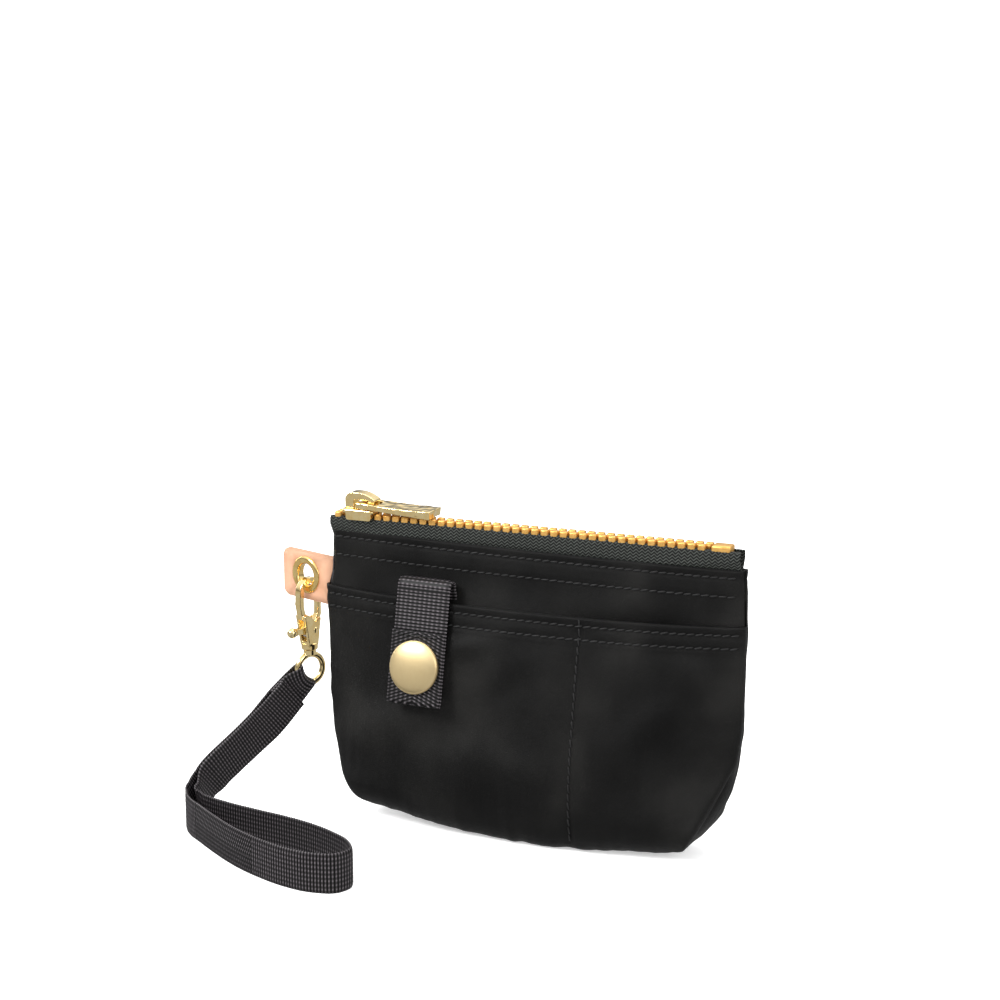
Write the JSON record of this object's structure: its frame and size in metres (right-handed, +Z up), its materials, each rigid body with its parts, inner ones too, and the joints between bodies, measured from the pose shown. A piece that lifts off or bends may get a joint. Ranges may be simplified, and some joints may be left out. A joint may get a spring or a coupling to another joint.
{
  "type": "zippered pouch",
  "caption": "Small zippered pouch with a slip pocket closed by a snap tab, gold zip and hardware, leather lug, swivel clasp and webbing wrist strap.",
  "frame": {"origin": "on the surface that the pouch stands on, under the middle of its base", "axes": "+X along the zip, from its closed end (wrist strap end) to its open end; +Y from the pocket side to the back; +Z up"},
  "size_m": [0.1832, 0.0948, 0.1111],
  "materials": {
    "nylon": "black satin nylon cloth with fine vertical creases",
    "lining": "thin matte black lining cloth",
    "zip_tape": "dark grey-green woven zip tape",
    "zip_teeth": "moulded teeth with a gold finish",
    "gold_metal": "polished pale gold plating",
    "satin_gold": "satin pale gold plating",
    "webbing": "ribbed black webbing",
    "tan_leather": "natural undyed leather",
    "spring_steel": "bare leaf spring"
  },
  "bodies": {
    "pouch": {"front_panel": "nylon", "back_panel": "nylon", "front_pocket": "nylon", "lining_front": "lining", "lining_back": "lining", "tape_front": "zip_tape", "tape_back": "zip_tape", "bottom_stop": "zip_teeth", "tab_anchor": "webbing", "snap_stud": "gold_metal", "snap_post": "gold_metal", "leather_lug": "tan_leather", "eyelet": "gold_metal", "eyelet_washer": "gold_metal"},
    "front_lip": {"teeth_front": "zip_teeth", "top_stop_front": "zip_teeth"},
    "back_lip": {"teeth_back": "zip_teeth", "top_stop_back": "zip_teeth"},
    "slider": {"slider_body": "gold_metal", "slider_crown": "gold_metal"},
    "pull": {"pull_tab": "gold_metal"},
    "snap_flap": {"tab_flap": "webbing", "snap_cap": "satin_gold", "snap_socket": "gold_metal"},
    "clasp": {"hook_body": "gold_metal", "gate_pin": "gold_metal", "gate_spring": "spring_steel"},
    "gate": {"gate_lever": "gold_metal"},
    "swivel": {"swivel_eye": "gold_metal"},
    "strap": {"wrist_strap": "webbing"}
  },
  "joints": [
    {"name": "slider_travel", "type": "slide", "parent": "pouch", "child": "slider", "axis": [1, 0, 0], "range_m": [0, 0.115]},
    {"name": "front_lip_open", "type": "hinge", "parent": "pouch", "child": "front_lip", "pos_m": [-0.0725, -0.0029, 0.0965], "axis": [0.9987, 0.0194, 0.0479], "range_deg": [0, 35], "deforming": ["tape_front", "teeth_front"]},
    {"name": "back_lip_open", "type": "hinge", "parent": "pouch", "child": "back_lip", "pos_m": [-0.0725, 0.0029, 0.0965], "axis": [-0.9987, 0.0194, -0.0479], "range_deg": [0, 35], "deforming": ["tape_back", "teeth_back"]},
    {"name": "pull_swing", "type": "hinge", "parent": "slider", "child": "pull", "pos_m": [-0.0601, 0, 0.10715], "axis": [0, -1, 0], "range_deg": [0, 165]},
    {"name": "snap_flap_lift", "type": "hinge", "parent": "pouch", "child": "snap_flap", "pos_m": [-0.0333, -0.0086, 0.0833], "axis": [-0.9986, 0.0523, 0], "range_deg": [0, 150], "deforming": ["tab_anchor"]},
    {"name": "clasp_swing", "type": "hinge", "parent": "pouch", "child": "clasp", "pos_m": [-0.0844, 0.0056, 0.079], "axis": [0.3256, 0.9455, 0], "range_deg": [-5, 80]},
    {"name": "gate_press", "type": "hinge", "parent": "clasp", "child": "gate", "pos_m": [-0.08411, 0.00645, 0.0592], "axis": [-0.9455, 0.3256, 0], "range_deg": [-11, 0], "stiffness_Nm_per_rad": 0.01, "springref_deg": 11.46, "deforming": ["gate_spring"]},
    {"name": "swivel_turn", "type": "hinge", "parent": "clasp", "child": "swivel", "pos_m": [-0.0844, 0.0056, 0.0452], "axis": [0, 0, 1], "range_deg": [-170, 20]},
    {"name": "strap_lift", "type": "hinge", "parent": "swivel", "child": "strap", "pos_m": [-0.0844, 0.0056, 0.0452], "axis": [-0.8763, 0.4818, 0], "range_deg": [0, 55]}
  ],
  "couplings": [
    {"joint": "front_lip_open", "follows": "slider_travel", "rad_per_m": 5.31},
    {"joint": "back_lip_open", "follows": "slider_travel", "rad_per_m": 5.31}
  ]
}
